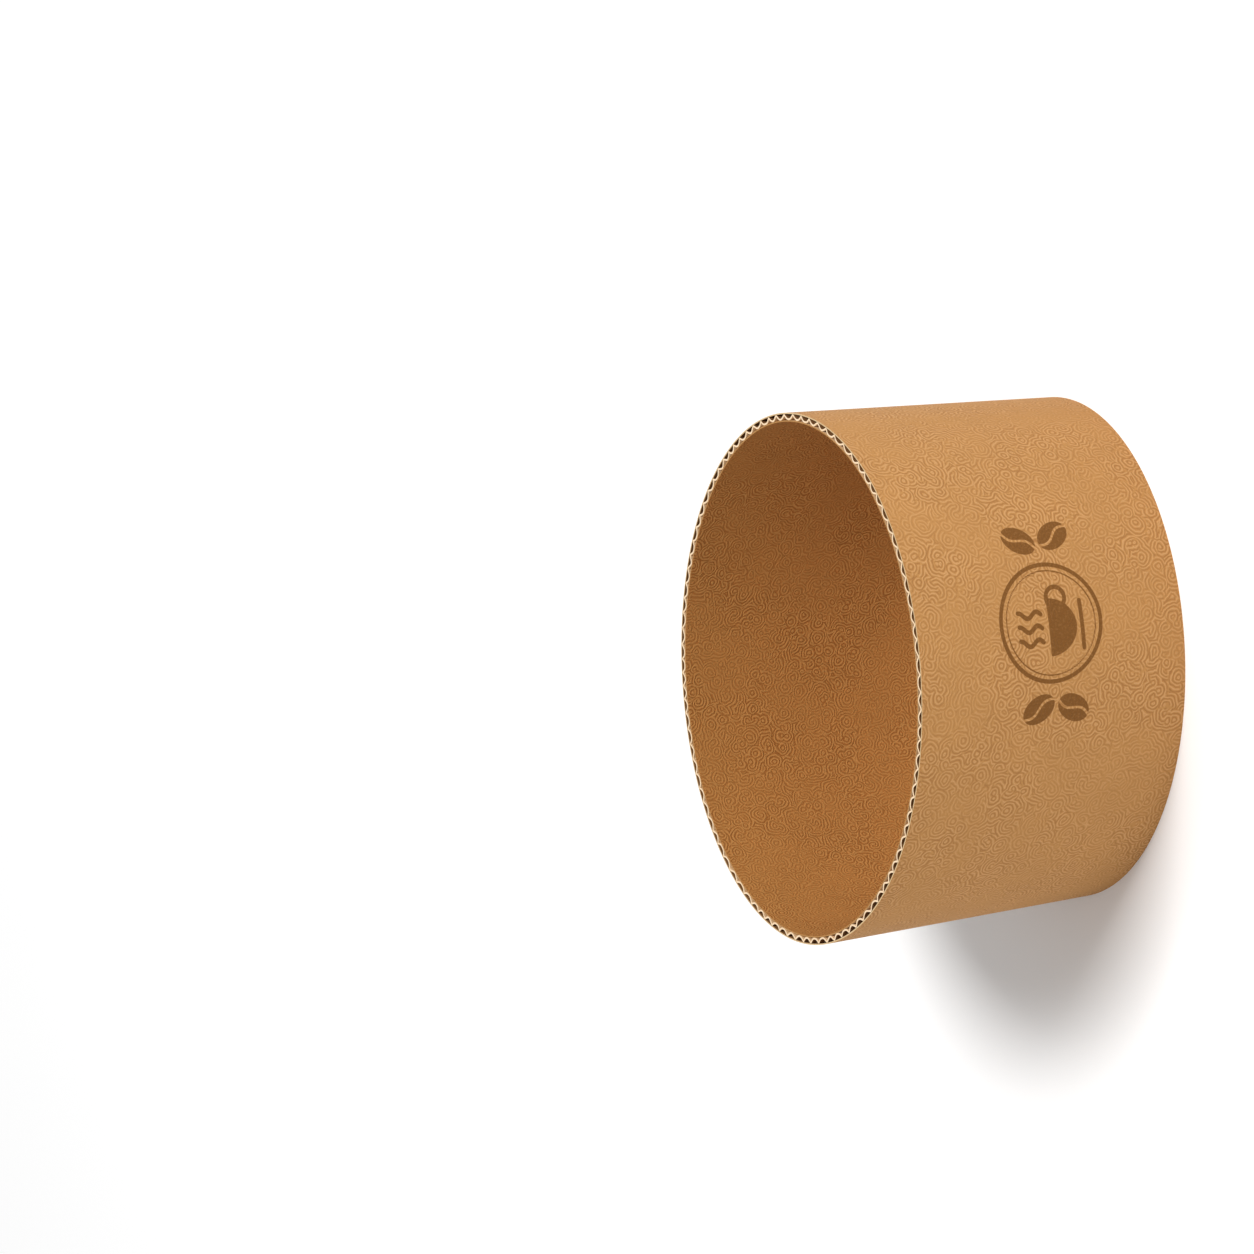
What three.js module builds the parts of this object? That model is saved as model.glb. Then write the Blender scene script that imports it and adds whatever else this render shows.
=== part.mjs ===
// A takeaway cup sleeve: a short ring of single-wall corrugated board, open at both ends.
// The board is three papers: a smooth liner outside, a smooth liner inside, and a fluted
// medium glued between them, whose flutes run from rim to rim and are open at both cut edges.
// Units are millimetres. The sleeve stands on its small end at z = 0, centred on the Z axis,
// with its large end up and its long axis along X.

import * as THREE from "three";

// The ring
const LARGE_END_DIAMETER = 85; // outside, at the mean of the oval's two axes
const SMALL_END_DIAMETER = 81.2; // outside, at the mean of the oval's two axes
const SLEEVE_HEIGHT = 54; // rim to rim
const OUT_OF_ROUND = 3.4; // the long half-axis is this much over the mean radius, the short one under

// The board
const OUTER_LINER_THICKNESS = 0.22;
const INNER_LINER_THICKNESS = 0.22;
const MEDIUM_THICKNESS = 0.3;
const FLUTE_HEIGHT = 1.04; // over the outsides of the fluted medium
const FLUTE_PITCH = 2.67; // crest to crest, round the large end
const GLUE_LINE = 0.02; // the film of starch between a flute tip and its liner
const ARCH_POWER = 0.85; // 2 gives a plain sine wave, less gives wide arches and narrow outer tips
const TIP_SOFTNESS = 0.24; // a share of the arch's height, which rounds the narrow outer tips
const FACETS_PER_FLUTE = 10; // a multiple of 2, so that every tip ends in a flat facet

const KRAFT_OUTSIDE = 0xcb9a66;
const KRAFT_INSIDE = 0xa9713c;
const FLUTING_PAPER = 0xe6c8a0;

// How deep each paper lies under the outside of the sleeve
const MEDIUM_OUTSIDE_DEPTH = OUTER_LINER_THICKNESS + GLUE_LINE;
const MEDIUM_MIDDLE_DEPTH = MEDIUM_OUTSIDE_DEPTH + FLUTE_HEIGHT / 2;
const INNER_LINER_DEPTH = MEDIUM_OUTSIDE_DEPTH + FLUTE_HEIGHT + GLUE_LINE;
const BOARD_THICKNESS = INNER_LINER_DEPTH + INNER_LINER_THICKNESS;

const OVAL_STEPS = 7200; // steps of the table that turns a length round the rim into an angle

// The half-axes of the sleeve's outside at one end, from that end's mean diameter.
function ovalOf(diameter) {
  return { long: diameter / 2 + OUT_OF_ROUND, short: diameter / 2 - OUT_OF_ROUND };
}

const LARGE_END = { oval: ovalOf(LARGE_END_DIAMETER), height: SLEEVE_HEIGHT };
const SMALL_END = { oval: ovalOf(SMALL_END_DIAMETER), height: 0 };

// Lengths round the large rim at equal steps of angle, added up one chord at a time.
function rimLengths({ long, short }) {
  const lengths = [0];
  for (let step = 1; step <= OVAL_STEPS; step++) {
    const middle = ((step - 0.5) / OVAL_STEPS) * 2 * Math.PI;
    const speed = Math.hypot(long * Math.sin(middle), short * Math.cos(middle));
    lengths.push(lengths[step - 1] + (speed * 2 * Math.PI) / OVAL_STEPS);
  }
  return lengths;
}

const RIM_LENGTHS = rimLengths(LARGE_END.oval);
const RIM_LENGTH = RIM_LENGTHS[OVAL_STEPS];
const FLUTE_COUNT = Math.round(RIM_LENGTH / FLUTE_PITCH);
const TRUE_PITCH = RIM_LENGTH / FLUTE_COUNT;

// The oval's angle at a length round the large rim. Both rims use it, so flutes run straight.
function angleAt(length) {
  const turns = Math.floor(length / RIM_LENGTH);
  const rest = length - turns * RIM_LENGTH;
  let low = 0;
  let high = OVAL_STEPS;
  while (high - low > 1) {
    const half = (low + high) >> 1;
    if (RIM_LENGTHS[half] <= rest) low = half;
    else high = half;
  }
  const share = (rest - RIM_LENGTHS[low]) / (RIM_LENGTHS[high] - RIM_LENGTHS[low]);
  return (turns + (low + share) / OVAL_STEPS) * 2 * Math.PI;
}

// The point of one end's plane at a length round the rim and a depth under the outside.
function wallPoint(end, { length, depth }) {
  const { long, short } = end.oval;
  const angle = angleAt(length);
  const outward = new THREE.Vector2(short * Math.cos(angle), long * Math.sin(angle)).normalize();
  return new THREE.Vector3(
    long * Math.cos(angle) - outward.x * depth,
    short * Math.sin(angle) - outward.y * depth,
    end.height,
  );
}

// The wave of the medium's middle line at a share of one flute: arches that are wide towards the
// cup, and narrow tips on the outer liner at whole numbers. It is scaled so that the facet on
// each outer tip lies at exactly 1 and the one on each inner tip at exactly -1.
function fluteWave(share) {
  const arch = (x) => Math.hypot(Math.sin(Math.PI * x), TIP_SOFTNESS) ** ARCH_POWER;
  const outerTip = arch(0.5 / FACETS_PER_FLUTE);
  const innerTip = arch(0.5 - 0.5 / FACETS_PER_FLUTE);
  return 1 - (2 * (arch(share) - outerTip)) / (innerTip - outerTip);
}

// The medium's middle line, unrolled: length round the rim across, height towards the outside up.
function mediumMiddleLine() {
  const swing = (FLUTE_HEIGHT - MEDIUM_THICKNESS) / 2;
  const points = [];
  for (let i = 0; i < FLUTE_COUNT * FACETS_PER_FLUTE; i++) {
    const share = (i + 0.5) / FACETS_PER_FLUTE;
    points.push(new THREE.Vector2(share * TRUE_PITCH, swing * fluteWave(share)));
  }
  return points;
}

// That line moved sideways by an offset, each corner mitred so that every facet moves by the same.
function offsetLine(points, offset) {
  const lap = new THREE.Vector2(RIM_LENGTH, 0);
  return points.map((point, i) => {
    const before = i > 0 ? points[i - 1] : points[points.length - 1].clone().sub(lap);
    const after = i < points.length - 1 ? points[i + 1] : points[0].clone().add(lap);
    const arriving = point.clone().sub(before).normalize();
    const leaving = after.clone().sub(point).normalize();
    const normal = new THREE.Vector2(-arriving.y - leaving.y, arriving.x + leaving.x).normalize();
    const mitre = offset / (normal.x * -arriving.y + normal.y * arriving.x);
    return point.clone().addScaledVector(normal, mitre);
  });
}

const MIDDLE_LINE = mediumMiddleLine();
const MEDIUM_OUTSIDE = offsetLine(MIDDLE_LINE, MEDIUM_THICKNESS / 2);
const MEDIUM_INSIDE = offsetLine(MIDDLE_LINE, -MEDIUM_THICKNESS / 2);

const asStations = (line) =>
  line.map(({ x, y }) => ({ length: x, depth: MEDIUM_MIDDLE_DEPTH - y }));

// The lengths of those corners of each flute: a liner has its own corners there, so that its flats
// face the flats on the tips.
function tipLengths(line, corners) {
  return line.filter((_, i) => corners.includes(i % FACETS_PER_FLUTE)).map((point) => point.x);
}

const atDepth = (lengths, depth) => lengths.map((length) => ({ length, depth }));

// A closed ring from rim to rim between an outside and an inside loop of as many stations.
function ringGeometry(outside, inside) {
  const count = outside.length;
  const loops = [
    outside.map((station) => wallPoint(SMALL_END, station)),
    outside.map((station) => wallPoint(LARGE_END, station)),
    inside.map((station) => wallPoint(LARGE_END, station)),
    inside.map((station) => wallPoint(SMALL_END, station)),
  ];
  const geometry = new THREE.BufferGeometry().setFromPoints(loops.flat());
  const faces = [];
  loops.forEach((_, row) => {
    const nextRow = (row + 1) % loops.length;
    for (let i = 0; i < count; i++) {
      const j = (i + 1) % count;
      const [a, b] = [row * count + i, row * count + j];
      const [c, d] = [nextRow * count + j, nextRow * count + i];
      faces.push(a, b, c, a, c, d);
    }
  });
  geometry.setIndex(faces);
  geometry.computeVertexNormals();
  return geometry;
}

function outerLiner() {
  const lengths = tipLengths(MEDIUM_OUTSIDE, [0, FACETS_PER_FLUTE - 1]);
  return ringGeometry(atDepth(lengths, 0), atDepth(lengths, OUTER_LINER_THICKNESS));
}

function flutedMedium() {
  return ringGeometry(asStations(MEDIUM_OUTSIDE), asStations(MEDIUM_INSIDE));
}

function innerLiner() {
  const lengths = tipLengths(MEDIUM_INSIDE, [FACETS_PER_FLUTE / 2 - 1, FACETS_PER_FLUTE / 2]);
  return ringGeometry(atDepth(lengths, INNER_LINER_DEPTH), atDepth(lengths, BOARD_THICKNESS));
}

function paper(name, geometry, color) {
  const material = new THREE.MeshStandardMaterial({ color, roughness: 0.85, metalness: 0 });
  const mesh = new THREE.Mesh(geometry, material);
  mesh.name = name;
  return mesh;
}

const sleeve = new THREE.Group();
sleeve.name = "cup_sleeve";
sleeve.add(paper("outer_liner", outerLiner(), KRAFT_OUTSIDE));
sleeve.add(paper("fluted_medium", flutedMedium(), FLUTING_PAPER));
sleeve.add(paper("inner_liner", innerLiner(), KRAFT_INSIDE));

export default sleeve;
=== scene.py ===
"""A takeaway cup sleeve of fluted kraft board, dressed for a plain studio picture.

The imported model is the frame: the sleeve stands on its small end at z = 0, with its large end up
and the long axis of its oval along X. Blender's lengths are metres; a name that ends in _mm holds
millimetres, which MM turns into metres.
"""

from __future__ import annotations

import logging
import math
from dataclasses import dataclass, field
from enum import Enum
from functools import cached_property

import bpy
import numpy as np
from mathutils import Matrix, Vector


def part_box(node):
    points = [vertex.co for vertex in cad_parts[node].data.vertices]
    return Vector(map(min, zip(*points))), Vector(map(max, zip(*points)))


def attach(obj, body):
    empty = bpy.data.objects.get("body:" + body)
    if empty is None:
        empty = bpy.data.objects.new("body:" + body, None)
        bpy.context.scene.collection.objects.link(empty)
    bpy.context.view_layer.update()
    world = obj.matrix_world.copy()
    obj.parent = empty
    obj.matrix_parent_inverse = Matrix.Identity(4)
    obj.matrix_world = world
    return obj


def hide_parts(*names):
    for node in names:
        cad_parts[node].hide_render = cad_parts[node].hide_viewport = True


log = logging.getLogger("sleeve")
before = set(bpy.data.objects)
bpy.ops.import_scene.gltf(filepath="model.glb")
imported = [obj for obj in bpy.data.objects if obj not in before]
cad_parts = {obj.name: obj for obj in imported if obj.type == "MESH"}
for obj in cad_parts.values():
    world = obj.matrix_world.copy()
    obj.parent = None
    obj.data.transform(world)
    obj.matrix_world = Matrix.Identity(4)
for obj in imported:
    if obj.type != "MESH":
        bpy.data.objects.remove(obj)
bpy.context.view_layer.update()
MM = 0.001
UNROLLED = "paper"  # the UV map of each paper laid flat, in metres
NOISE_MIDDLE = (0.5, 0.5, 0.5)  # the mean of a noise's colour, whose parts run from 0 to 1
SHARP_EDGE = math.radians(40)  # an edge that turns by more than this is shaded as a corner

Tree = bpy.types.NodeTree
Node = bpy.types.Node
Socket = bpy.types.NodeSocket
Pair = tuple[float, float]


class Side(Enum):
    """The four sides of a paper's section, in the order that its section path runs."""

    OUT = 0
    TOP_CUT = 1
    IN = 2
    BASE_CUT = 3


@dataclass(frozen=True)
class TaperedOval:
    """The sleeve's outside: an oval at each end, with straight lines between the two.

    A place in the board is a length round the large rim, counted from the end of the long axis,
    a share of the way up, and a depth under the outside, square to the oval in each end's plane.
    """

    large: Pair
    small: Pair
    height: float
    steps: int = 7200

    @cached_property
    def lengths(self) -> np.ndarray:
        """Lengths round the large rim at equal steps of angle, as a running sum of chords."""
        long, short = self.large
        middle = (np.arange(self.steps) + 0.5) / self.steps * 2 * np.pi
        speed = np.hypot(long * np.sin(middle), short * np.cos(middle))
        return np.concatenate([[0.0], np.cumsum(speed * 2 * np.pi / self.steps)])

    @property
    def rim(self) -> float:
        """The length of the large rim."""
        return float(self.lengths[-1])

    def angle_at(self, length: np.ndarray) -> np.ndarray:
        """The oval's angle at a length round the large rim, by looking the length up.

        Args:
            length: Lengths round the large rim, in metres; any number of turns.

        Returns:
            The angles of the oval's formula (long cos, short sin), in radians.
        """
        turns = np.floor(length / self.rim)
        angles = np.linspace(0, 2 * np.pi, self.steps + 1)
        return np.interp(length - turns * self.rim, self.lengths, angles) + turns * 2 * np.pi

    def length_at(self, angle: float) -> float:
        """The length round the large rim at an angle of the oval, in radians."""
        return float(np.interp(angle, np.linspace(0, 2 * np.pi, self.steps + 1), self.lengths))

    def place(self, length: np.ndarray, share: np.ndarray, depth: np.ndarray) -> np.ndarray:
        """Points of the board: each end's oval point less its normal times the depth, then mixed.

        Args:
            length: Lengths round the large rim, in metres.
            share: Shares of the way up, 0 at the small end and 1 at the large one.
            depth: Depths under the outside, in metres.

        Returns:
            An array of points, with x, y, z along its last axis.
        """
        length, share, depth = np.broadcast_arrays(length, share, depth)
        angle = self.angle_at(length)
        cos, sin = np.cos(angle), np.sin(angle)
        flat = np.zeros(angle.shape + (2,))
        for (long, short), weight in ((self.small, 1 - share), (self.large, share)):
            normal = np.stack([short * cos, long * sin], axis=-1)
            normal /= np.linalg.norm(normal, axis=-1, keepdims=True)
            oval = np.stack([long * cos, short * sin], axis=-1)
            flat += (oval - normal * depth[..., None]) * weight[..., None]
        return np.concatenate([flat, (share * self.height)[..., None]], axis=-1)


@dataclass(frozen=True)
class Board:
    """Single-wall board: how thick its papers are, how deep each lies and how the flutes run.

    The papers and the flutes' height and pitch are those of the solids. The arches are a little
    rounder and the outer tips narrower than the solids', by less than 0.1 mm, as in the photo.
    """

    outer_mm: float = 0.22
    inner_mm: float = 0.22
    medium_mm: float = 0.3
    flute_mm: float = 1.04
    glue_mm: float = 0.02
    pitch_mm: float = 2.67
    arch_power: float = 0.62
    tip_softness: float = 0.19

    @property
    def middle_depth(self) -> float:
        """The depth of the medium's middle line, halfway between the liners."""
        return (self.outer_mm + self.glue_mm + self.flute_mm / 2) * MM

    @property
    def inner_depth(self) -> float:
        """The depth of the inner liner's hidden side."""
        return (self.outer_mm + 2 * self.glue_mm + self.flute_mm) * MM

    def wave(self, share: np.ndarray) -> np.ndarray:
        """The medium's middle line over one flute: 1 at the narrow outer tip, -1 at the wide arch.

        The formula is a power of the root of sin squared plus a small square, which rounds the
        outer tip, scaled to run from 1 at whole shares to -1 halfway between them.

        Args:
            share: Shares of a flute, whole numbers being its outer tips.

        Returns:
            Heights of the line, from -1 to 1, towards the outside.
        """
        arch = (np.sin(np.pi * share) ** 2 + self.tip_softness**2) ** (self.arch_power / 2)
        tip = self.tip_softness**self.arch_power
        crown = (1 + self.tip_softness**2) ** (self.arch_power / 2)
        return 1 - 2 * (arch - tip) / (crown - tip)


def srgb(code: str) -> tuple[float, float, float, float]:
    """The linear colour of an sRGB hex code such as "#c89b6a", with alpha 1."""
    parts = [int(code[i : i + 2], 16) / 255 for i in (1, 3, 5)]
    linear = [p / 12.92 if p <= 0.04045 else ((p + 0.055) / 1.055) ** 2.4 for p in parts]
    return (*linear, 1.0)


def add_node(tree: Tree, kind: str, inputs: dict | None = None, **settings: object) -> Node:
    """Adds a node to a tree, with its settings, its sockets' values and the links into them.

    Args:
        tree: The node tree that takes the node.
        kind: The node's type, such as "ShaderNodeMath".
        inputs: Socket names or numbers, each with a value or with an output socket to link.
        settings: The node's own properties.

    Returns:
        The new node.
    """
    made = tree.nodes.new(kind)
    for name, value in settings.items():
        setattr(made, name, value)
    for socket, value in (inputs or {}).items():
        if isinstance(value, Socket):
            tree.links.new(value, made.inputs[socket])
        else:
            made.inputs[socket].default_value = value
    return made


def calc(tree: Tree, operation: str, *values: Socket | float) -> Socket:
    """Adds one step of arithmetic.

    Args:
        tree: The node tree that takes the node.
        operation: The step, such as "MULTIPLY".
        values: The numbers or outputs that it works on, in their order.

    Returns:
        The output that gives the result.
    """
    return add_node(tree, "ShaderNodeMath", dict(enumerate(values)), operation=operation).outputs[0]


def remap(
    tree: Tree, value: Socket, span: Pair, to: Pair = (0.0, 1.0), **settings: object
) -> Socket:
    """Turns one range of a value into another, and holds the value at that range's ends.

    Args:
        tree: The node tree that takes the node.
        value: The output to turn.
        span: The values that give the two ends of the new range.
        to: The new range.
        settings: The node's own properties.

    Returns:
        The output that gives the new value.
    """
    ends = {"From Min": span[0], "From Max": span[1], "To Min": to[0], "To Max": to[1]}
    return add_node(tree, "ShaderNodeMapRange", {"Value": value} | ends, **settings).outputs["Result"]


def blend(
    tree: Tree, share: Socket, first: Socket | tuple, second: Socket | tuple, kind: str = "FLOAT"
) -> Socket:
    """Mixes two values or colours.

    Args:
        tree: The node tree that takes the node.
        share: The output that gives the share of the second.
        first: The first value, or the output that gives it.
        second: The second value, or the output that gives it.
        kind: "FLOAT" for numbers, "RGBA" for colours.

    Returns:
        The output that gives the mix.
    """
    inputs = {"Factor": share, "A": first, "B": second}
    return add_node(tree, "ShaderNodeMix", inputs, data_type=kind).outputs["Result"]


def noise(tree: Tree, place: Socket, size_mm: float, detail: float) -> Node:
    """Adds a soft noise.

    Args:
        tree: The node tree that takes the node.
        place: The output that gives the coordinates, in metres.
        size_mm: The size of the noise's largest features.
        detail: How many finer layers lie over them.

    Returns:
        The noise's node.
    """
    inputs = {"Vector": place, "Scale": 1 / (size_mm * MM), "Detail": detail}
    return add_node(tree, "ShaderNodeTexNoise", inputs)


def new_material(name: str) -> tuple[bpy.types.Material, Tree, Node]:
    """A new material with its tree and its Principled shader, otherwise at the defaults."""
    material = bpy.data.materials.new(name)
    material.use_nodes = True
    tree = material.node_tree
    return material, tree, tree.nodes["Principled BSDF"]


@dataclass(frozen=True)
class RingRelief:
    """The fine rings of the liners' surface: wavy lines that close round scattered centres.

    The height is the sine of the distance to the nearest of many scattered centres on the unrolled
    paper, with the place first pushed about by a soft noise so that no ring is a true circle. At
    the unrolled paper's seam, on the end of the long axis, the rings of the flat place (y, z)
    take over, so that no line is cut. A broad noise makes the rings fainter in places.

    spacing_mm is the distance from ring to ring and cell_mm the one from centre to centre, which a
    second set of rings has wider. The two sets swap over swap_mm, where a noise is in swap_range,
    and the rings fade over patch_mm where another is in patch_range. The seam's rings begin
    seam_mm from the seam, and they are alone within seam_full_mm of it. A place is pushed by up to
    push_mm each way, by a noise of the size push_size_mm.
    """

    spacing_mm: float
    cell_mm: float
    wider: float = 1.4
    swap_mm: float = 3.6
    swap_range: Pair = (0.46, 0.54)
    push_mm: float = 0.6
    push_size_mm: float = 2.0
    seam_mm: float = 9.0
    seam_full_mm: float = 3.0
    patch_mm: float = 11.0
    patch_range: Pair = (0.38, 0.6)
    faintest: float = 0.7

    def height(self, tree: Tree) -> Socket:
        """Adds the relief's nodes.

        Args:
            tree: The material's tree.

        Returns:
            The output that gives the relief's height, from -1 to 1.
        """
        unrolled = add_node(tree, "ShaderNodeUVMap", uv_map=UNROLLED).outputs["UV"]
        place = add_node(tree, "ShaderNodeTexCoord").outputs["Object"]
        x, y, z = add_node(tree, "ShaderNodeSeparateXYZ", {"Vector": place}).outputs
        flat = add_node(tree, "ShaderNodeCombineXYZ", {"X": y, "Y": z}).outputs["Vector"]
        away = calc(tree, "ABSOLUTE", y)
        near = remap(tree, away, (self.seam_mm * MM, self.seam_full_mm * MM))
        front = calc(tree, "GREATER_THAN", x, 0.0)
        share = calc(tree, "MULTIPLY", near, front)
        rings = blend(tree, share, self._rings(tree, unrolled), self._rings(tree, flat))
        patches = noise(tree, place, self.patch_mm, 1.0).outputs["Fac"]
        strength = remap(tree, patches, self.patch_range, (self.faintest, 1.0))
        return calc(tree, "MULTIPLY", rings, strength)

    def _rings(self, tree: Tree, flat: Socket) -> Socket:
        """The rings on one flat map of the paper, from -1 to 1.

        Two sets of rings, one with larger cells, take turns from place to place, so that many
        lines end or fork and few rings are whole.

        Args:
            tree: The material's tree.
            flat: The output that gives the map's coordinates, in metres.

        Returns:
            The sine of the distance to the nearest centre, of either set.
        """
        pull = noise(tree, flat, self.push_size_mm, 2.0).outputs["Color"]
        centred = add_node(tree, "ShaderNodeVectorMath", {0: pull, 1: NOISE_MIDDLE}, operation="SUBTRACT")
        reach = {0: centred.outputs[0], "Scale": 2 * self.push_mm * MM}
        push = add_node(tree, "ShaderNodeVectorMath", reach, operation="SCALE").outputs[0]
        pushed = add_node(tree, "ShaderNodeVectorMath", {0: flat, 1: push}, operation="ADD").outputs[0]
        waves = []
        for cell in (self.cell_mm, self.cell_mm * self.wider):
            cells = {"Vector": pushed, "Scale": 1 / (cell * MM)}
            nearest = add_node(tree, "ShaderNodeTexVoronoi", cells, voronoi_dimensions="2D")
            turns = 2 * math.pi * cell / self.spacing_mm
            phase = calc(tree, "MULTIPLY", nearest.outputs["Distance"], turns)
            waves.append(calc(tree, "SINE", phase))
        swaps = noise(tree, flat, self.swap_mm, 0.0).outputs["Fac"]
        return blend(tree, remap(tree, swaps, self.swap_range), *waves)


@dataclass(frozen=True)
class KraftLiner:
    """Unbleached kraft linerboard, machine-finished: matte, warm brown, with faint ring relief.

    The paper's colour turns to a lighter ridge colour above paper_band and a darker groove colour
    below it, as shares of the relief's height: painted highlight on the rings' ridges and painted
    shade in their grooves. mottle and grain are the depths of the broad and the fine unevenness of
    the colour. Ink covers the paper where the mesh's ink attribute is below zero; it thins to
    ink_thinnest where the grain falls through ink_fade.
    """

    name: str
    paper: str
    ridge_highlight: str
    groove_shade: str
    relief: RingRelief
    ink: str | None = None
    ink_edge_mm: float = 0.04
    ink_fade: Pair = (0.25, 0.5)
    ink_thinnest: float = 0.8
    paper_band: Pair = (0.3, 0.62)
    relief_mm: float = 0.05
    roughness: float = 0.88
    specular: float = 0.12
    mottle_mm: float = 9.0
    mottle: float = 0.12
    grain_mm: float = 0.35
    grain: float = 0.12
    grain_relief: float = 0.25

    def build(self) -> bpy.types.Material:
        """Makes the material: paper colour, ring lines with painted highlight and shade, soft mottling,
        fine grain and the print.

        Returns:
            The material.
        """
        material, tree, shader = new_material(self.name)
        place = add_node(tree, "ShaderNodeTexCoord").outputs["Object"]
        line = remap(tree, self.relief.height(tree), (-1.0, 1.0))
        mottle = noise(tree, place, self.mottle_mm, 3.0).outputs["Fac"]
        grain = noise(tree, place, self.grain_mm, 2.0).outputs["Fac"]
        darkest = 1 - (self.mottle + self.grain) / 2
        shade = calc(tree, "MULTIPLY_ADD", mottle, self.mottle, darkest)
        shade = calc(tree, "MULTIPLY_ADD", grain, self.grain, shade)
        # the ring colour is painted highlight on the ridges and painted shade in the grooves; mottle and
        # grain then vary it at random
        shaded = {0: self._ramp(tree, line), "Scale": shade}
        colour = add_node(tree, "ShaderNodeVectorMath", shaded, operation="SCALE").outputs[0]
        if self.ink:
            colour = self._printed(tree, colour, grain)
        tree.links.new(colour, shader.inputs["Base Color"])
        shader.inputs["Roughness"].default_value = self.roughness
        shader.inputs["Specular IOR Level"].default_value = self.specular
        height = calc(tree, "MULTIPLY_ADD", grain, self.grain_relief, line)
        relief = {"Height": height, "Distance": self.relief_mm * MM, "Strength": 1.0}
        bump = add_node(tree, "ShaderNodeBump", relief)
        tree.links.new(bump.outputs["Normal"], shader.inputs["Normal"])
        return material

    def _ramp(self, tree: Tree, line: Socket) -> Socket:
        """The colour from groove through paper to a thin ridge, by the ring lines' height: painted shade
        in the grooves, painted highlight on the ridges.
        """
        ramp = add_node(tree, "ShaderNodeValToRGB", {"Fac": line})
        stops = ramp.color_ramp.elements
        stops[0].color, stops[1].color = srgb(self.groove_shade), srgb(self.ridge_highlight)
        for place in self.paper_band:
            stops.new(place).color = srgb(self.paper)
        return ramp.outputs["Color"]

    def _printed(self, tree: Tree, paper: Socket, grain: Socket) -> Socket:
        """The paper's colour with the ink over it, where the mesh's ink attribute is below zero."""
        edge = add_node(tree, "ShaderNodeAttribute", attribute_name=Motif.ATTRIBUTE).outputs["Fac"]
        inked = remap(tree, edge, (self.ink_edge_mm, -self.ink_edge_mm))
        cover = remap(tree, grain, self.ink_fade, (self.ink_thinnest, 1.0))
        laid = calc(tree, "MULTIPLY", inked, cover)
        return blend(tree, laid, paper, srgb(self.ink), kind="RGBA")


@dataclass(frozen=True)
class CutPaper:
    """Paper where a die has cut it, or a fluting paper's face: dry, with loose short fibres. On the
    flutes' faces its colour is painted shade in the open flutes and painted light in the closed ones.

    The fibres' colour turns to the paper's where a noise runs through fibre_range.
    """

    name: str
    paper: str
    fibre: str
    fibre_mm: float = 0.22
    fibre_range: Pair = (0.3, 0.7)
    bump_mm: float = 0.04
    bump_strength: float = 0.6
    roughness: float = 0.9
    specular: float = 0.25

    def build(self) -> bpy.types.Material:
        """Makes the material: two tones of paper in a fine noise, with a slight bump.

        Returns:
            The material.
        """
        material, tree, shader = new_material(self.name)
        place = add_node(tree, "ShaderNodeTexCoord").outputs["Object"]
        fibres = noise(tree, place, self.fibre_mm, 2.0).outputs["Fac"]
        share = remap(tree, fibres, self.fibre_range)
        colour = blend(tree, share, srgb(self.fibre), srgb(self.paper), kind="RGBA")
        tree.links.new(colour, shader.inputs["Base Color"])
        shader.inputs["Roughness"].default_value = self.roughness
        shader.inputs["Specular IOR Level"].default_value = self.specular
        relief = {"Height": fibres, "Distance": self.bump_mm * MM, "Strength": self.bump_strength}
        bump = add_node(tree, "ShaderNodeBump", relief)
        tree.links.new(bump.outputs["Normal"], shader.inputs["Normal"])
        return material


Finish = KraftLiner | CutPaper


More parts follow.
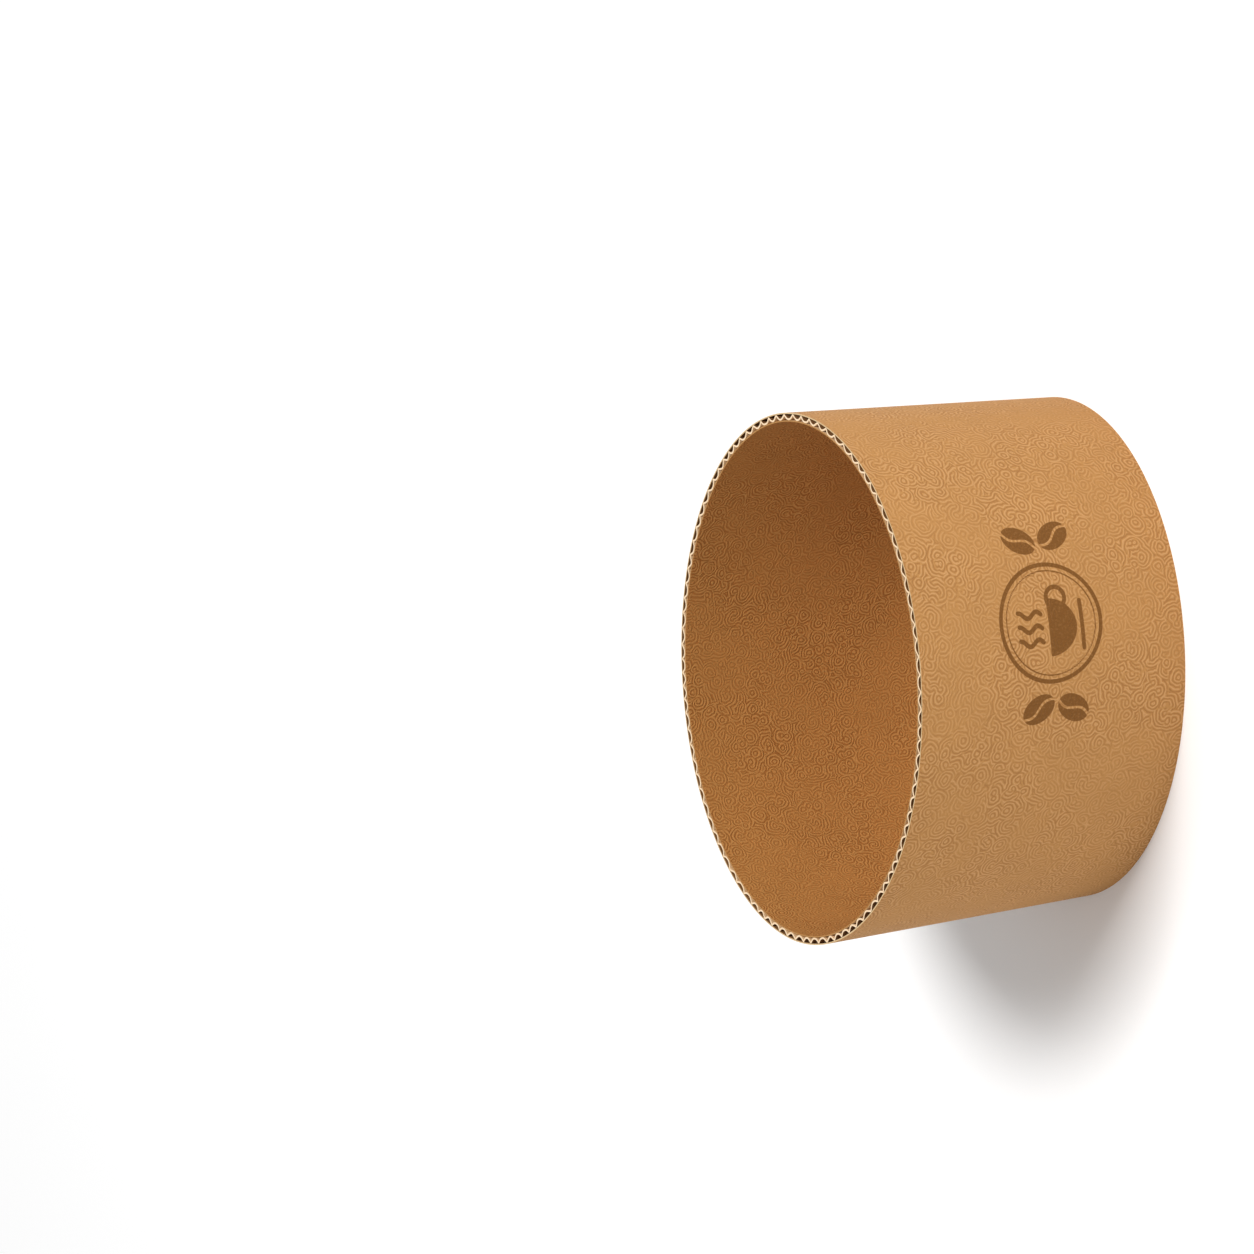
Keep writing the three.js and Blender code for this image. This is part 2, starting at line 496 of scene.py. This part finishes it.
@dataclass(frozen=True)
class Motif:
    """The print: a steaming mug in a round badge of two lines, between coffee beans.

    Every shape is a signed distance in millimetres, below zero inside, worked out on the liner's
    own points. x runs round the sleeve and y up it, both from the badge's centre. A ring is a
    radius and a width, and a bean is a place and a lean in degrees.
    """

    ATTRIBUTE = "ink"
    half_width: float = 20.0
    half_height: float = 12.5
    rings: tuple[Pair, ...] = ((10.1, 0.75), (9.0, 0.26))
    cup_radius: float = 5.0
    cup_aspect: float = 0.88  # the mug's half-width over its depth
    cup_rim: float = 0.5
    cup_shift: float = -0.8
    handle_radius: float = 1.85
    handle_drop: float = 1.5
    saucer: tuple[Pair, Pair] = ((-4.9, -6.25), (3.3, -6.25))
    steam_starts: tuple[float, ...] = (-3.2, -0.8, 1.6)
    steam_heights: Pair = (1.9, 6.5)
    steam_points: int = 15
    steam_swing: float = 0.55
    steam_wave: float = 3.6
    line: float = 0.8
    bean_half: Pair = (3.4, 2.3)
    slit_swing: float = 0.55
    slit_half: float = 0.24
    least_slope: float = 1e-6  # keeps the bean's distance finite at its centre
    beans: tuple[tuple[float, float, float], ...] = (
        (14.7, 3.3, 62),
        (15.1, -3.8, 118),
        (-14.7, 3.3, 118),
        (-15.1, -3.8, 62),
    )

    @staticmethod
    def disc(x: np.ndarray, y: np.ndarray, radius: float) -> np.ndarray:
        """The distance from the centre less the radius."""
        return np.hypot(x, y) - radius

    @staticmethod
    def stroke(x: np.ndarray, y: np.ndarray, line: np.ndarray, width: float) -> np.ndarray:
        """The distance to the nearest stretch of a line of points, less half the width."""
        best = np.full(np.broadcast(x, y).shape, np.inf)
        for (ax, ay), (bx, by) in zip(line[:-1], line[1:]):
            dx, dy = bx - ax, by - ay
            share = np.clip(((x - ax) * dx + (y - ay) * dy) / (dx * dx + dy * dy), 0, 1)
            best = np.minimum(best, np.hypot(x - ax - share * dx, y - ay - share * dy))
        return best - width / 2

    def mug(self, x: np.ndarray, y: np.ndarray) -> np.ndarray:
        """A mug from the side, its handle and saucer, and three curls of steam over it.

        The body is a half-disc, drawn taller, under a flat rim; the handle is a ring, the saucer a
        straight stroke, and each curl a stroke along a sine.

        Args:
            x: Places round the sleeve from the badge's centre, in millimetres.
            y: Places up the sleeve from the badge's centre, in millimetres.

        Returns:
            Signed distances, below zero on the mug.
        """
        up = y - self.cup_rim
        body = np.maximum(self.disc(x - self.cup_shift, up * self.cup_aspect, self.cup_radius), up)
        side = self.cup_shift + self.cup_radius
        handle = np.abs(self.disc(x - side, y + self.handle_drop, self.handle_radius)) - self.line / 2
        saucer = self.stroke(x, y, np.array(self.saucer), self.line)
        shape = np.minimum(np.minimum(body, handle), saucer)
        rise = np.linspace(*self.steam_heights, self.steam_points)
        for start in self.steam_starts:
            turn = (rise - rise[0]) * 2 * np.pi / self.steam_wave
            curl = np.stack([start + self.steam_swing * np.sin(turn), rise], axis=-1)
            shape = np.minimum(shape, self.stroke(x, y, curl, self.line))
        return shape

    def bean(self, x: np.ndarray, y: np.ndarray, turn: float) -> np.ndarray:
        """A coffee bean: an ellipse less a slit along an S through its length.

        Args:
            x: Places round the sleeve from the bean's centre, in millimetres.
            y: Places up the sleeve from the bean's centre, in millimetres.
            turn: How far the bean leans, in degrees.

        Returns:
            Signed distances, below zero on the bean.
        """
        cos, sin = math.cos(math.radians(turn)), math.sin(math.radians(turn))
        along, across = x * cos + y * sin, y * cos - x * sin
        long, short = self.bean_half
        ratio = np.hypot(along / long, across / short)
        slope = np.hypot(along / long**2, across / short**2) + self.least_slope
        shell = ratio * (ratio - 1) / slope
        slit = np.abs(across - self.slit_swing * np.sin(along * np.pi / long)) - self.slit_half
        return np.maximum(shell, -slit)

    def distance(self, x: np.ndarray, y: np.ndarray) -> np.ndarray:
        """The whole print: the mug, the badge's two lines round it and two beans at each side.

        Args:
            x: Places round the sleeve from the badge's centre, in millimetres.
            y: Places up the sleeve from the badge's centre, in millimetres.

        Returns:
            Signed distances, below zero where there is ink.
        """
        ink = self.mug(x, y)
        for radius, width in self.rings:
            ink = np.minimum(ink, np.abs(self.disc(x, y, radius)) - width / 2)
        for across, up, turn in self.beans:
            ink = np.minimum(ink, self.bean(x - across, y - up, turn))
        return ink


def ring_mesh(name: str, points: np.ndarray, sides: np.ndarray, unrolled: np.ndarray) -> bpy.types.Mesh:
    """A closed mesh from a grid that closes both round the ring and round the paper's section.

    Args:
        name: The mesh's name.
        points: The grid of points, (round the ring, round the section, xyz).
        sides: The Side number of each step round the section.
        unrolled: The length round the ring at each station, with the whole rim as a last entry.

    Returns:
        The mesh, with the sides as material numbers and a UV map in metres.
    """
    around, section = points.shape[:2]
    i, j = np.meshgrid(np.arange(around), np.arange(section), indexing="ij")
    ni, nj = (i + 1) % around, (j + 1) % section
    quads = np.stack([i * section + j, ni * section + j, ni * section + nj, i * section + nj], axis=-1)
    mesh = bpy.data.meshes.new(name)
    mesh.from_pydata(points.reshape(-1, 3), [], quads.reshape(-1, 4))
    mesh.polygons.foreach_set("material_index", np.broadcast_to(sides, (around, section)).ravel())
    path = np.linalg.norm(np.diff(points[0], axis=0, append=points[0, :1]), axis=-1)
    ups = np.concatenate([[0.0], np.cumsum(path)])
    corners = np.stack(
        [
            np.stack([unrolled[i], unrolled[i + 1], unrolled[i + 1], unrolled[i]], axis=-1),
            np.stack([ups[j], ups[j], ups[j + 1], ups[j + 1]], axis=-1),
        ],
        axis=-1,
    )
    mesh.uv_layers.new(name=UNROLLED).data.foreach_set("uv", corners.ravel())
    mesh.shade_smooth()
    mesh.set_sharp_from_angle(angle=SHARP_EDGE)
    mesh.update()
    return mesh


@dataclass
class Paper:
    """One paper of the board: a ring of it from rim to rim, made as a grid and dressed side by side."""

    node: str
    slot: str
    oval: TaperedOval
    finishes: dict[Side, Finish]

    def section(
        self, outside: np.ndarray, inside: np.ndarray, shares: np.ndarray
    ) -> tuple[np.ndarray, np.ndarray, np.ndarray]:
        """The path round the paper's section: up its outside, over the cut, down its inside, back.

        Args:
            outside: Depth of the paper's outside at each station.
            inside: Depth of the paper's inside at each station.
            shares: Shares of the way up at which the path has points.

        Returns:
            The depths and the shares along the path, and the Side of each step.
        """
        count = len(shares)
        depths = np.repeat(np.stack([outside, inside], axis=-1), count, axis=1)
        path = np.concatenate([shares, shares[::-1]])
        sides = np.full(2 * count, Side.OUT.value)
        sides[count - 1], sides[count:], sides[-1] = Side.TOP_CUT.value, Side.IN.value, Side.BASE_CUT.value
        return depths, path, sides

    def finish(self, mesh: bpy.types.Mesh) -> bpy.types.Object:
        """Gives the mesh its materials and stands it in for its CAD node.

        Args:
            mesh: The paper's mesh.

        Returns:
            The paper's object, riding on the root body.
        """
        for side in Side:
            mesh.materials.append(MATERIALS.get(self.finishes[side]))
        piece = bpy.data.objects.new(mesh.name, mesh)
        bpy.context.scene.collection.objects.link(piece)
        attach(piece, "root")
        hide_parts(self.node)
        log.info("%s: %d faces stand for %s", piece.name, len(mesh.polygons), self.node)
        return piece


class MaterialShelf:
    """Keeps each finish's material, so that a finish used twice is built once."""

    def __init__(self) -> None:
        """Starts with no material."""
        self._made: dict[str, bpy.types.Material] = {}

    def get(self, finish: Finish) -> bpy.types.Material:
        """The finish's material, built when it is first asked for."""
        if finish.name not in self._made:
            self._made[finish.name] = finish.build()
        return self._made[finish.name]


MATERIALS = MaterialShelf()


@dataclass
class Liner(Paper):
    """A smooth liner: the same depth all round, with a finer grid where the print lies.

    A plain liner has rows of points up its height; one with a print has edge_rows over and under
    the fine grid.
    """

    depth: float = 0.0
    thickness: float = 0.0
    motif: Motif | None = None
    motif_angle: float = math.radians(291)
    coarse_mm: float = 1.2
    fine_mm: float = 0.24
    rows: int = 10
    edge_rows: int = 5

    def stations(self) -> tuple[np.ndarray, np.ndarray]:
        """The grid's lengths round the rim and shares of the height, finer over the print.

        Returns:
            The lengths, in metres, and the shares.
        """
        rim, height = self.oval.rim, self.oval.height
        coarse, fine = self.coarse_mm * MM, self.fine_mm * MM
        if self.motif is None:
            return np.linspace(0, rim, round(rim / coarse), endpoint=False), np.linspace(0, 1, self.rows)
        centre = self.oval.length_at(self.motif_angle)
        wide, tall = self.motif.half_width * MM, self.motif.half_height * MM
        start, stop = centre - wide, centre + wide
        lengths = np.concatenate(
            [
                np.arange(0, start, coarse),
                np.linspace(start, stop, round(2 * wide / fine) + 1),
                np.linspace(stop, rim, max(2, round((rim - stop) / coarse)))[1:-1],
            ]
        )
        middle = height / 2
        heights = np.concatenate(
            [
                np.linspace(0, middle - tall, self.edge_rows)[:-1],
                np.linspace(middle - tall, middle + tall, round(2 * tall / fine) + 1),
                np.linspace(middle + tall, height, self.edge_rows)[1:],
            ]
        )
        return lengths, heights / height

    def build(self) -> bpy.types.Object:
        """Makes the liner's ring, with the print's distances as an attribute where it has a print.

        Returns:
            The liner's object.
        """
        lengths, shares = self.stations()
        outside = np.full(len(lengths), self.depth)
        depths, path, sides = self.section(outside, outside + self.thickness, shares)
        points = self.oval.place(lengths[:, None], path[None, :], depths)
        mesh = ring_mesh(self.node + "_sheet", points, sides, np.append(lengths, self.oval.rim))
        if self.motif is not None:
            x = (lengths - self.oval.length_at(self.motif_angle)) / MM
            y = (path - 0.5) * self.oval.height / MM
            ink = self.motif.distance(*np.meshgrid(x, y, indexing="ij"))
            ink[:, len(shares) :] = self.motif.half_width
            mesh.attributes.new(Motif.ATTRIBUTE, "FLOAT", "POINT").data.foreach_set("value", ink.ravel())
        return self.finish(mesh)


@dataclass
class FlutedMedium(Paper):
    """The waved paper between the liners, with the small unevenness of a real board's flutes.

    sway and lean are shares of a flute. Their waves are numbers of waves round the ring, each with
    the angle at which it starts. A bend of less than flattest, per metre, counts as flattest.
    """

    board: Board = field(default_factory=Board)
    points_per_flute: int = 36
    rows: int = 4
    sway: float = 0.16
    sway_waves: tuple[tuple[int, float], ...] = ((5, 0.0), (11, 2.1), (17, 4.0), (31, 1.2))
    lean: float = 0.035
    lean_waves: tuple[tuple[int, float], ...] = ((23, 0.0), (37, 1.0))
    tightest: float = 0.9  # the most that the inside moves, as a share of the bend's radius
    flattest: float = 1.0

    def middle_line(self) -> tuple[np.ndarray, np.ndarray]:
        """The medium's middle line, unrolled.

        The place of each flute sways by a sum of whole-number sines round the ring, and each
        flute leans by shifting its arch sideways, by a share that also changes round the ring.

        Returns:
            Lengths round the rim and heights towards the outside from the middle depth, in metres.
        """
        flutes = round(self.oval.rim / (self.board.pitch_mm * MM))
        turn = np.arange(flutes * self.points_per_flute) / (flutes * self.points_per_flute)
        share = turn * flutes
        swing = (self.board.flute_mm - self.board.medium_mm) / 2 * MM
        lean = self.lean * sum(np.sin(2 * np.pi * n * turn + start) for n, start in self.lean_waves)
        height = swing * self.board.wave(share + lean * np.sin(2 * np.pi * share))
        sway = sum(np.sin(2 * np.pi * n * turn + start) / n for n, start in self.sway_waves)
        slowest = self.sway_waves[0][0]
        pitch = self.oval.rim / flutes
        return (share + self.sway * sway * slowest) * pitch, height

    def build(self) -> bpy.types.Object:
        """Makes the medium: its middle line moved along its normal by half its thickness each way.

        Towards the cup it moves by less where the line bends more tightly than that, so that the
        surface doesn't pass through itself at the outer tips.

        Returns:
            The medium's object.
        """
        length, height = self.middle_line()
        rim = self.oval.rim
        step = np.roll(length, -1) - np.roll(length, 1)
        step = np.where(step < 0, step + rim, step)
        rise = np.roll(height, -1) - np.roll(height, 1)
        size = np.hypot(step, rise)
        slope = np.arctan2(rise, step)
        bend = np.abs(np.roll(slope, -1) - np.roll(slope, 1)) / size
        half = self.board.medium_mm / 2 * MM
        inside = np.minimum(half, self.tightest / np.maximum(bend, self.flattest))
        shift, lift = -rise / size, step / size
        shares = np.linspace(0, 1, self.rows)
        depth = self.board.middle_depth - height
        depths, path, sides = self.section(depth - lift * half, depth + lift * inside, shares)
        moves = np.repeat(np.stack([shift * half, -shift * inside], axis=-1), self.rows, axis=1)
        points = self.oval.place(length[:, None] + moves, path[None, :], depths)
        mesh = ring_mesh(self.node + "_sheet", points, sides, np.append(length, length[0] + rim))
        return self.finish(mesh)


# The outside: warm kraft with a slight sheen, whose rings show as fine lighter lines, with
# painted highlight on each ridge and painted shade in each groove.
OUTSIDE_KRAFT = KraftLiner(
    "kraft_liner_outside",
    "#b9864d",
    "#ca9863",
    "#a5723f",
    RingRelief(0.68, 2.8),
    ink="#7b4f1f",
    roughness=0.78,
    specular=0.2,
)
# The inside: kraft drawn redder and darker than the outside, as painted shade and painted reddish
# bounce light of the hollow, with closer, deeper rings, so that the hollow looks rougher.
INSIDE_KRAFT_PAINTED_SHADE = KraftLiner(
    "kraft_liner_inside_painted_shade", "#b98044", "#ca9355", "#9d632e", RingRelief(0.56, 2.2), relief_mm=0.07
)
# The outer liner's cut edge: a light line that ends the outside crisply at the rim.
PALE_CUT = CutPaper("kraft_liner_cut_edge", "#dcc096", "#cbab7c")
# The inner liner's cut edge: close to the inside's own brown, a quiet border within the flutes.
BROWN_CUT = CutPaper("inner_liner_cut_edge", "#b98a55", "#a5753f")
# The medium's cut edge: nearly cream, the scalloped line that the eye follows round the rim.
FLUTING_CUT = CutPaper("fluting_cut_edge", "#f8e0c0", "#eccba2")
# The walls of the flutes that are open to the outer liner: painted dark, as painted shade that
# makes the holes look deep.
OPEN_FLUTE_PAINTED_SHADE = CutPaper("fluting_face_outside_painted_shade", "#94683c", "#825730")
# The walls of the flutes beside the inner liner: painted pale, as painted light in these narrow
# hollows, which widens each arch's cream outline.
CLOSED_FLUTE_PAINTED_LIGHT = CutPaper("fluting_face_inside_painted_light", "#e9c9a0", "#dcb88a")


def dressed(outside: Finish, inside: Finish, cut: Finish) -> dict[Side, Finish]:
    """The finish of each side of a paper, from those of its two faces and of its two cut edges."""
    return {Side.OUT: outside, Side.TOP_CUT: cut, Side.IN: inside, Side.BASE_CUT: cut}


@dataclass(frozen=True)
class Sleeve:
    """The whole sleeve: the oval ring read off the frame, and the three papers of its board."""

    board: Board = Board()
    taper_mm: float = 3.8  # the small end's mean diameter is this much less than the large end's

    @cached_property
    def oval(self) -> TaperedOval:
        """The ring, from the half-axes and the height of the outer liner's box."""
        low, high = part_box("outer_liner")
        taper = self.taper_mm / 2 * MM
        return TaperedOval((high[0], high[1]), (high[0] - taper, high[1] - taper), high[2] - low[2])

    def build(self) -> list[bpy.types.Object]:
        """Makes the three papers, from the outside in.

        Returns:
            Their objects.
        """
        outer = Liner(
            "outer_liner",
            "outer_liner_paper",
            self.oval,
            dressed(OUTSIDE_KRAFT, OPEN_FLUTE_PAINTED_SHADE, PALE_CUT),
            thickness=self.board.outer_mm * MM,
            motif=Motif(),
        )
        medium = FlutedMedium(
            "fluted_medium",
            "fluting_paper",
            self.oval,
            dressed(OPEN_FLUTE_PAINTED_SHADE, CLOSED_FLUTE_PAINTED_LIGHT, FLUTING_CUT),
            board=self.board,
        )
        inner = Liner(
            "inner_liner",
            "inner_liner_paper",
            self.oval,
            dressed(CLOSED_FLUTE_PAINTED_LIGHT, INSIDE_KRAFT_PAINTED_SHADE, BROWN_CUT),
            depth=self.board.inner_depth,
            thickness=self.board.inner_mm * MM,
        )
        return [outer.build(), medium.build(), inner.build()]


@dataclass(frozen=True)
class Camera:
    """The photograph's camera: far off, with a long lens, rolled so that the large end is at the left.

    The view is set by the direction to the camera in degrees, its roll and the pixel and distance
    at which the centre of the large rim shows.
    """

    azimuth: float = 17.16
    elevation: float = 29.53
    frame_px: float = 1254.0
    focal_px: float = 7139.85
    rim_px: Pair = (798.45, 679.89)
    rim_distance: float = 1.2144
    sensor_mm: float = 36.0
    clip: Pair = (0.05, 20.0)
    up: tuple[float, float, float] = (0.96589, 0.23898, -0.10002)

    def build(self, rim_centre: Vector) -> bpy.types.Object:
        """Makes the camera and makes it the scene's own.

        Args:
            rim_centre: The centre of the large rim.

        Returns:
            The camera's object.
        """
        azimuth, elevation = math.radians(self.azimuth), math.radians(self.elevation)
        back = Vector(
            (
                math.sin(azimuth) * math.cos(elevation),
                -math.cos(azimuth) * math.cos(elevation),
                math.sin(elevation),
            )
        )
        right = Vector(self.up).cross(back).normalized()
        up = back.cross(right)
        data = bpy.data.cameras.new("camera")
        data.sensor_width = self.sensor_mm
        data.lens = self.focal_px / self.frame_px * self.sensor_mm
        data.clip_start, data.clip_end = self.clip
        across = (self.rim_px[0] - self.frame_px / 2) / self.focal_px * self.rim_distance
        down = (self.rim_px[1] - self.frame_px / 2) / self.focal_px * self.rim_distance
        place = rim_centre + back * self.rim_distance - right * across + up * down
        camera = bpy.data.objects.new("camera", data)
        camera.matrix_world = Matrix.Translation(place) @ Matrix((right, up, back)).transposed().to_4x4()
        bpy.context.scene.collection.objects.link(camera)
        bpy.context.scene.camera = camera
        return camera


@dataclass(frozen=True)
class Softbox:
    """A square area light that looks at the sleeve's middle."""

    name: str
    place: tuple[float, float, float]
    size: float
    watts: float
    colour: str = "#ffffff"

    def build(self, target: Vector) -> bpy.types.Object:
        """Makes the light.

        Args:
            target: The point that it faces.

        Returns:
            The light's object.
        """
        data = bpy.data.lights.new(self.name, "AREA")
        data.size, data.energy, data.color = self.size, self.watts, srgb(self.colour)[:3]
        light = bpy.data.objects.new(self.name, data)
        light.location = self.place
        light.rotation_euler = (target - Vector(self.place)).to_track_quat("-Z", "Y").to_euler()
        bpy.context.scene.collection.objects.link(light)
        return light


@dataclass(frozen=True)
class Studio:
    """The pale floor, the white surroundings, a strong softbox and a weak one to fill its shade.

    The floor gives a little light of its own away from the sleeve, none under and close round it,
    as a sheet of paper lit from beneath does, so that the shadow stays dark only near the sleeve.
    """

    floor_half: float = 4.0
    floor_colour: str = "#f6f6f6"
    floor_roughness: float = 0.95
    floor_glow: float = 0.16
    glow_centre: tuple[float, float, float] = (-0.02, 0.01, 0.0)
    glow_range: Pair = (0.042, 0.067)
    white: str = "#ffffff"
    world_strength: float = 0.47
    key: Softbox = Softbox("key", (0.76, -0.28, 1.38), 0.6, 19.0)
    fill: Softbox = Softbox("fill", (-0.5, -1.35, 0.72), 0.8, 1.9)

    def floor(self) -> bpy.types.Object:
        """Makes the floor: matte white paper, whose glow grows with the distance from its centre.

        Returns:
            The floor's object.
        """
        half = self.floor_half
        corners = [(-half, -half, 0), (half, -half, 0), (half, half, 0), (-half, half, 0)]
        mesh = bpy.data.meshes.new("floor")
        mesh.from_pydata(corners, [], [(0, 1, 2, 3)])
        material, tree, shader = new_material("studio_paper")
        place = add_node(tree, "ShaderNodeTexCoord").outputs["Object"]
        ends = {0: place, 1: self.glow_centre}
        away = add_node(tree, "ShaderNodeVectorMath", ends, operation="DISTANCE").outputs["Value"]
        glow = remap(
            tree, away, self.glow_range, (0.0, self.floor_glow), interpolation_type="SMOOTHSTEP"
        )
        tree.links.new(glow, shader.inputs["Emission Strength"])
        shader.inputs["Base Color"].default_value = srgb(self.floor_colour)
        shader.inputs["Roughness"].default_value = self.floor_roughness
        shader.inputs["Emission Color"].default_value = srgb(self.white)
        mesh.materials.append(material)
        floor = bpy.data.objects.new("floor", mesh)
        bpy.context.scene.collection.objects.link(floor)
        return floor

    def build(self, target: Vector) -> None:
        """Makes the floor, the world and the lights, and shows plain colours as they are.

        Args:
            target: The point that the lights face.
        """
        self.floor()
        world = bpy.data.worlds.new("studio")
        world.use_nodes = True
        background = world.node_tree.nodes["Background"]
        background.inputs["Color"].default_value = srgb(self.white)
        background.inputs["Strength"].default_value = self.world_strength
        bpy.context.scene.world = world
        self.key.build(target)
        self.fill.build(target)
        bpy.context.scene.view_settings.view_transform = "Standard"


def main() -> None:
    """Builds the sleeve, then the camera and the studio, and reports each."""
    logging.basicConfig(level=logging.INFO, format="%(name)s: %(message)s")
    sleeve = Sleeve()
    pieces = sleeve.build()
    log.info("the sleeve has %d papers", len(pieces))
    height = sleeve.oval.height
    Camera().build(Vector((0, 0, height)))
    log.info("the camera stands where the photograph was taken from")
    Studio().build(Vector((0, 0, height / 2)))
    log.info("the studio has its floor, surroundings and lights")


if __name__ == "__main__":
    main()
